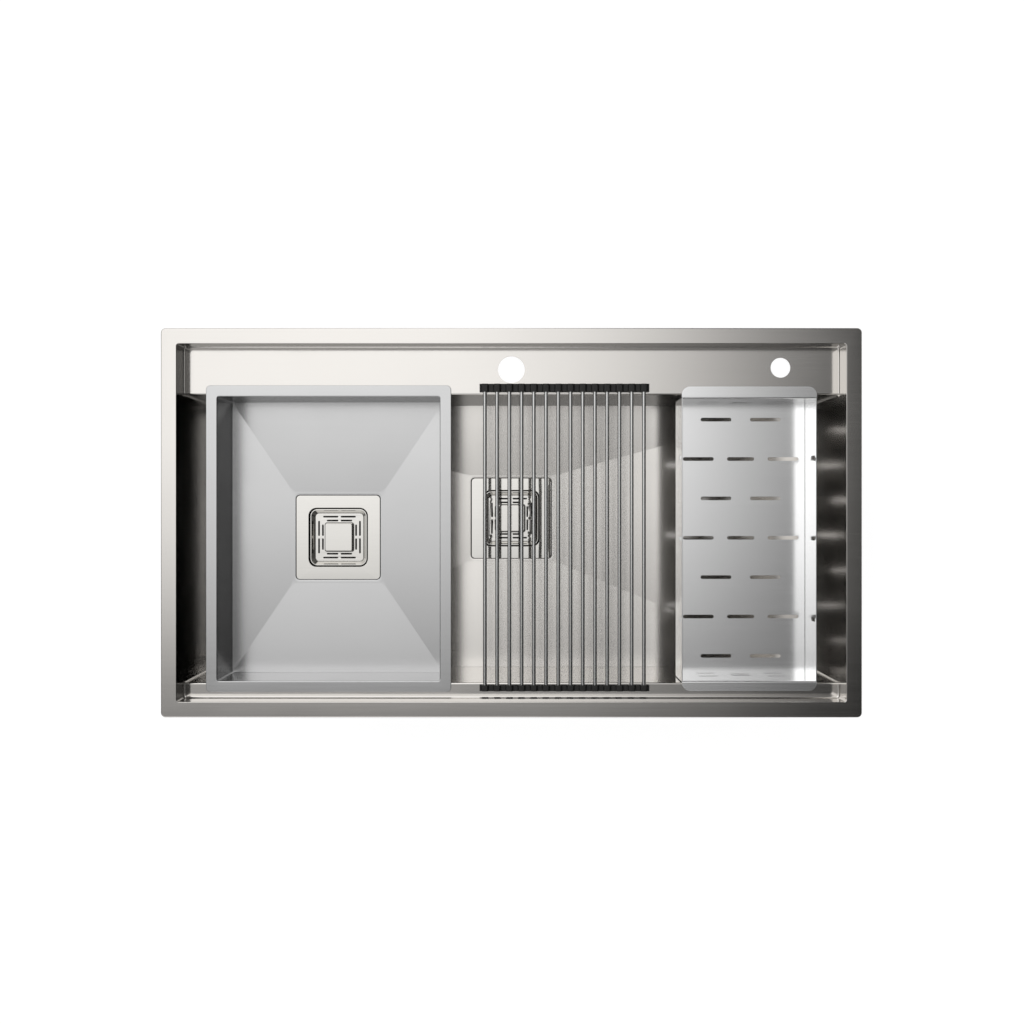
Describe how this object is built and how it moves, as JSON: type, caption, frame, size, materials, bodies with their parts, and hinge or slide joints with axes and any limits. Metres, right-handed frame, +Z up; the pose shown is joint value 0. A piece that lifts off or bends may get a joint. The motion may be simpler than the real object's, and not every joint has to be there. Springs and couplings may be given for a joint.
{
  "type": "kitchen sink",
  "caption": "Rectangular steel worktop sink with a back deck, loose square-waste basin, roll-up drying rack and slotted colander tray.",
  "frame": {"origin": "centre of the rim's outline, on the worktop's surface under the rim", "axes": "+X to the right along the rim, +Y to the back where the tap stands, +Z up"},
  "size_m": [0.9, 0.5, 0.2979],
  "materials": {
    "sink_steel": "satin sheet",
    "basin_steel": "matt brushed",
    "tray_steel": "satin",
    "waste_steel": "polished satin",
    "rod_steel": "polished",
    "hardware_steel": "zinc plated",
    "black_silicone": "matt",
    "grey_rubber": "matt",
    "seal_foam": "matt"
  },
  "bodies": {
    "sink": {"rim_frame": "sink_steel", "upper_walls": "sink_steel", "back_deck": "sink_steel", "front_ledge": "sink_steel", "bowl_walls": "sink_steel", "bowl_corners": "sink_steel", "bowl_floor": "sink_steel", "rim_seal": "seal_foam", "clip_brackets": "hardware_steel", "clip_screws": "hardware_steel", "sound_pads": "grey_rubber", "main_flange": "waste_steel", "main_gasket": "black_silicone", "main_frame": "hardware_steel", "main_nuts": "hardware_steel", "main_outlet": "waste_steel"},
    "main_strainer": {"main_basket": "waste_steel", "main_knob": "waste_steel", "main_plug": "black_silicone"},
    "basin": {"basin_rim": "basin_steel", "basin_walls": "basin_steel", "basin_floor": "basin_steel", "basin_flange": "waste_steel", "basin_gasket": "black_silicone", "basin_frame": "hardware_steel", "basin_nuts": "hardware_steel", "basin_outlet": "waste_steel"},
    "basin_strainer": {"basin_basket": "waste_steel", "basin_knob": "waste_steel", "basin_plug": "black_silicone"},
    "colander": {"colander_shell": "tray_steel", "colander_ends": "tray_steel"},
    "link_01": {"rod_01": "rod_steel", "caps_01": "black_silicone"},
    "link_02": {"rod_02": "rod_steel", "caps_02": "black_silicone"},
    "link_03": {"rod_03": "rod_steel", "caps_03": "black_silicone"},
    "link_04": {"rod_04": "rod_steel", "caps_04": "black_silicone"},
    "link_05": {"rod_05": "rod_steel", "caps_05": "black_silicone"},
    "link_06": {"rod_06": "rod_steel", "caps_06": "black_silicone"},
    "link_07": {"rod_07": "rod_steel", "caps_07": "black_silicone"},
    "link_08": {"rod_08": "rod_steel", "caps_08": "black_silicone"},
    "link_09": {"rod_09": "rod_steel", "caps_09": "black_silicone"},
    "link_10": {"rod_10": "rod_steel", "caps_10": "black_silicone"},
    "link_11": {"rod_11": "rod_steel", "caps_11": "black_silicone"},
    "link_12": {"rod_12": "rod_steel", "caps_12": "black_silicone"},
    "link_13": {"rod_13": "rod_steel", "caps_13": "black_silicone"},
    "link_14": {"rod_14": "rod_steel", "caps_14": "black_silicone"}
  },
  "joints": [
    {"name": "main_strainer_lift", "type": "slide", "parent": "sink", "child": "main_strainer", "axis": [0, 0, 1], "range_m": [0, 0.15]},
    {"name": "basin_lift", "type": "slide", "parent": "sink", "child": "basin", "axis": [0, 0, 1], "range_m": [0, 0.2]},
    {"name": "basin_strainer_lift", "type": "slide", "parent": "basin", "child": "basin_strainer", "axis": [0, 0, 1], "range_m": [0, 0.15]},
    {"name": "colander_lift", "type": "slide", "parent": "sink", "child": "colander", "axis": [0, 0, 1], "range_m": [0, 0.12]},
    {"name": "rack_slide", "type": "slide", "parent": "sink", "child": "link_01", "axis": [1, 0, 0], "range_m": [-0.025, 0.038]},
    {"name": "rack_roll_01", "type": "hinge", "parent": "link_01", "child": "link_02", "pos_m": [-0.0266, 0, -0.031], "axis": [0, -1, 0], "range_deg": [0, 21]},
    {"name": "rack_roll_02", "type": "hinge", "parent": "link_02", "child": "link_03", "pos_m": [-0.0106, 0, -0.031], "axis": [0, -1, 0], "range_deg": [0, 23.1]},
    {"name": "rack_roll_03", "type": "hinge", "parent": "link_03", "child": "link_04", "pos_m": [0.0054, 0, -0.031], "axis": [0, -1, 0], "range_deg": [0, 25.2]},
    {"name": "rack_roll_04", "type": "hinge", "parent": "link_04", "child": "link_05", "pos_m": [0.0214, 0, -0.031], "axis": [0, -1, 0], "range_deg": [0, 27.3]},
    {"name": "rack_roll_05", "type": "hinge", "parent": "link_05", "child": "link_06", "pos_m": [0.0374, 0, -0.031], "axis": [0, -1, 0], "range_deg": [0, 30.45]},
    {"name": "rack_roll_06", "type": "hinge", "parent": "link_06", "child": "link_07", "pos_m": [0.0534, 0, -0.031], "axis": [0, -1, 0], "range_deg": [0, 33.6]},
    {"name": "rack_roll_07", "type": "hinge", "parent": "link_07", "child": "link_08", "pos_m": [0.0694, 0, -0.031], "axis": [0, -1, 0], "range_deg": [0, 36.75]},
    {"name": "rack_roll_08", "type": "hinge", "parent": "link_08", "child": "link_09", "pos_m": [0.0854, 0, -0.031], "axis": [0, -1, 0], "range_deg": [0, 39.9]},
    {"name": "rack_roll_09", "type": "hinge", "parent": "link_09", "child": "link_10", "pos_m": [0.1014, 0, -0.031], "axis": [0, -1, 0], "range_deg": [0, 43.05]},
    {"name": "rack_roll_10", "type": "hinge", "parent": "link_10", "child": "link_11", "pos_m": [0.1174, 0, -0.031], "axis": [0, -1, 0], "range_deg": [0, 46.2]},
    {"name": "rack_roll_11", "type": "hinge", "parent": "link_11", "child": "link_12", "pos_m": [0.1334, 0, -0.031], "axis": [0, -1, 0], "range_deg": [0, 49.35]},
    {"name": "rack_roll_12", "type": "hinge", "parent": "link_12", "child": "link_13", "pos_m": [0.1494, 0, -0.031], "axis": [0, -1, 0], "range_deg": [0, 52.5]},
    {"name": "rack_roll_13", "type": "hinge", "parent": "link_13", "child": "link_14", "pos_m": [0.1654, 0, -0.031], "axis": [0, -1, 0], "range_deg": [0, 55.65]}
  ],
  "couplings": [
    {"joint": "rack_roll_02", "follows": "rack_roll_01", "ratio": 1.1},
    {"joint": "rack_roll_03", "follows": "rack_roll_01", "ratio": 1.2},
    {"joint": "rack_roll_04", "follows": "rack_roll_01", "ratio": 1.3},
    {"joint": "rack_roll_05", "follows": "rack_roll_01", "ratio": 1.45},
    {"joint": "rack_roll_06", "follows": "rack_roll_01", "ratio": 1.6},
    {"joint": "rack_roll_07", "follows": "rack_roll_01", "ratio": 1.75},
    {"joint": "rack_roll_08", "follows": "rack_roll_01", "ratio": 1.9},
    {"joint": "rack_roll_09", "follows": "rack_roll_01", "ratio": 2.05},
    {"joint": "rack_roll_10", "follows": "rack_roll_01", "ratio": 2.2},
    {"joint": "rack_roll_11", "follows": "rack_roll_01", "ratio": 2.35},
    {"joint": "rack_roll_12", "follows": "rack_roll_01", "ratio": 2.5},
    {"joint": "rack_roll_13", "follows": "rack_roll_01", "ratio": 2.65}
  ]
}
